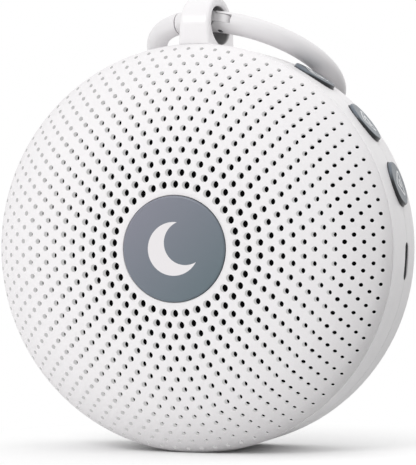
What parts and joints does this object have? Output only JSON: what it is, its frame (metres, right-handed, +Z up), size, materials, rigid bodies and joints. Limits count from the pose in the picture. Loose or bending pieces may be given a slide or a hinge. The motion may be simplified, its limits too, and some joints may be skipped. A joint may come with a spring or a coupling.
{
  "type": "white noise sound machine",
  "caption": "Hand-sized round portable speaker: perforated domed grille, side push buttons, USB-C inlet, hanging loop and a hook ring with a spring gate.",
  "frame": {"origin": "centre of the small flat foot that the body stands on", "axes": "+Z up, the grille faces -Y, +X is the user's right, where the buttons are"},
  "size_m": [0.1, 0.0725, 0.1121],
  "materials": {
    "grille_white": "fine matte texture",
    "badge_grey": "satin",
    "emblem_white": "satin",
    "cloth_black": "woven acoustic cloth",
    "housing_white": "smooth satin",
    "loop_white": "smooth semi gloss",
    "ring_white": "smooth satin",
    "button_grey": "satin",
    "zinc_steel": "zinc plated",
    "pad_rubber": "matte",
    "basket_black": "stove enamel",
    "foam_black": "closed-cell foam",
    "surround_rubber": "matte",
    "cone_paper": "pressed paper",
    "cap_cloth": "treated cloth",
    "copper": "enamelled copper wire",
    "spider_cloth": "resin-treated cloth",
    "ferrite": "sintered ferrite",
    "terminal_tan": "phenolic",
    "board_green": "solder mask",
    "chip_black": "moulded epoxy",
    "can_aluminium": "bright can",
    "socket_white": "nylon",
    "inlet_steel": "nickel plated",
    "inlet_dark": "moulded",
    "switch_black": "moulded",
    "plunger_white": "moulded",
    "battery_foil": "laminated foil",
    "tape_grey": "foam adhesive",
    "lead_red": "silicone insulation",
    "lead_black": "silicone insulation",
    "pin_steel": "polished"
  },
  "bodies": {
    "housing": {"amplifier_chip": "chip_black", "badge": "badge_grey", "badge_emblem": "emblem_white", "battery": "battery_foil", "battery_leads": "lead_red", "battery_socket": "socket_white", "battery_tape": "tape_grey", "board_screws": "zinc_steel", "capacitors": "can_aluminium", "controller_chip": "chip_black", "front_housing": "housing_white", "grille": "grille_white", "grille_cloth": "cloth_black", "grille_screws": "zinc_steel", "hanging_loop": "loop_white", "housing_screws": "zinc_steel", "lower_switch": "switch_black", "magnet_top_plate": "zinc_steel", "main_board": "board_green", "middle_switch": "switch_black", "rear_housing": "housing_white", "rear_pads": "pad_rubber", "speaker_basket": "basket_black", "speaker_cone": "cone_paper", "speaker_dust_cap": "cap_cloth", "speaker_gasket": "foam_black", "speaker_leads": "lead_black", "speaker_magnet": "ferrite", "speaker_screws": "zinc_steel", "speaker_socket": "socket_white", "speaker_spider": "spider_cloth", "speaker_surround": "surround_rubber", "speaker_terminals": "terminal_tan", "speaker_yoke": "zinc_steel", "upper_switch": "switch_black", "usb_shell": "inlet_steel", "usb_tongue": "inlet_dark", "voice_coil": "copper"},
    "upper_button": {"upper_button": "button_grey", "upper_plunger": "plunger_white"},
    "middle_button": {"middle_button": "button_grey", "middle_plunger": "plunger_white"},
    "lower_button": {"lower_button": "button_grey", "lower_plunger": "plunger_white"},
    "ring": {"hook_ring": "ring_white", "gate_pin": "pin_steel", "gate_spring": "pin_steel"},
    "gate": {"ring_gate": "ring_white"}
  },
  "joints": [
    {"name": "upper_button_press", "type": "slide", "parent": "housing", "child": "upper_button", "axis": [-0.5344, 0, -0.8453], "range_m": [0, 0.0004], "stiffness_N_per_m": 600, "springref_m": -0.0005},
    {"name": "middle_button_press", "type": "slide", "parent": "housing", "child": "middle_button", "axis": [-0.788, 0, -0.6157], "range_m": [0, 0.0004], "stiffness_N_per_m": 600, "springref_m": -0.0005},
    {"name": "lower_button_press", "type": "slide", "parent": "housing", "child": "lower_button", "axis": [-0.9494, 0, -0.314], "range_m": [0, 0.0004], "stiffness_N_per_m": 600, "springref_m": -0.0005},
    {"name": "ring_swing", "type": "hinge", "parent": "housing", "child": "ring", "pos_m": [-0.00261, 0.00234, 0.10541], "axis": [0.9403, -0.3404, 0], "range_deg": [0, 190]},
    {"name": "gate_hinge", "type": "hinge", "parent": "ring", "child": "gate", "pos_m": [0.00434, -0.00053, 0.10558], "axis": [-0.1541, -0.4256, -0.8917], "range_deg": [0, 14], "stiffness_Nm_per_rad": 0.005, "springref_deg": -17.19}
  ]
}
